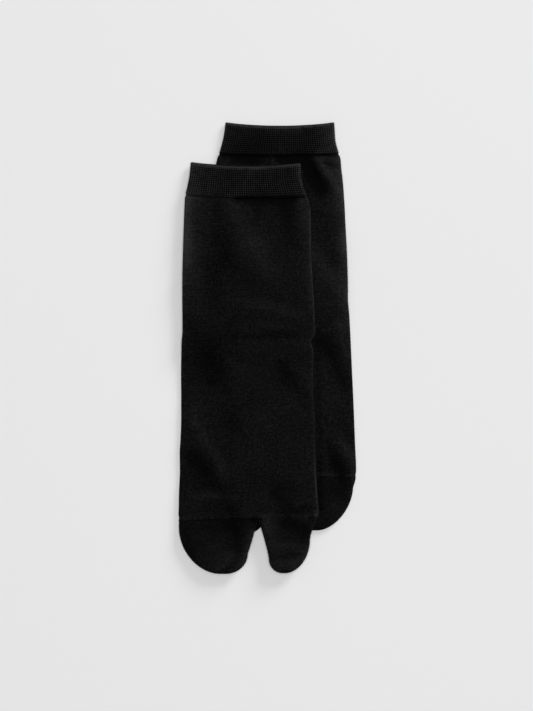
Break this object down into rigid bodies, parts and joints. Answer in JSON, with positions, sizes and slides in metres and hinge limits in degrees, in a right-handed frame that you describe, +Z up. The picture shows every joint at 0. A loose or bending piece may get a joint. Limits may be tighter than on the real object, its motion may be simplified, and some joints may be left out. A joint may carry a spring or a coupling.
{
  "type": "pair of tabi socks",
  "caption": "Black knitted split-toe (tabi) socks lying flat, the right one partly over the left, with ribbed cuffs, big-toe pockets and folded heels.",
  "frame": {"origin": "under the middle of the pair's box, on the surface that it lies on", "axes": "+Z up out of the insteps, +Y along the socks from the toes towards the cuffs, +X towards the wearer's left side of the upper (right) sock, which is its big toe's side"},
  "size_m": [0.1324, 0.3378, 0.0138],
  "materials": {
    "black_plain_knit": "matt black plain-knitted cotton blend with fine stitches",
    "black_ribbed_knit": "matt black one-by-one ribbed knit, folded double"
  },
  "bodies": {
    "root": {"left_cuff": "black_ribbed_knit", "left_leg_foot": "black_plain_knit", "left_toes": "black_plain_knit", "left_big_toe": "black_plain_knit", "left_heel": "black_plain_knit", "right_cuff": "black_ribbed_knit", "right_leg_foot": "black_plain_knit", "right_toes": "black_plain_knit", "right_big_toe": "black_plain_knit", "right_heel": "black_plain_knit"}
  },
  "joints": []
}
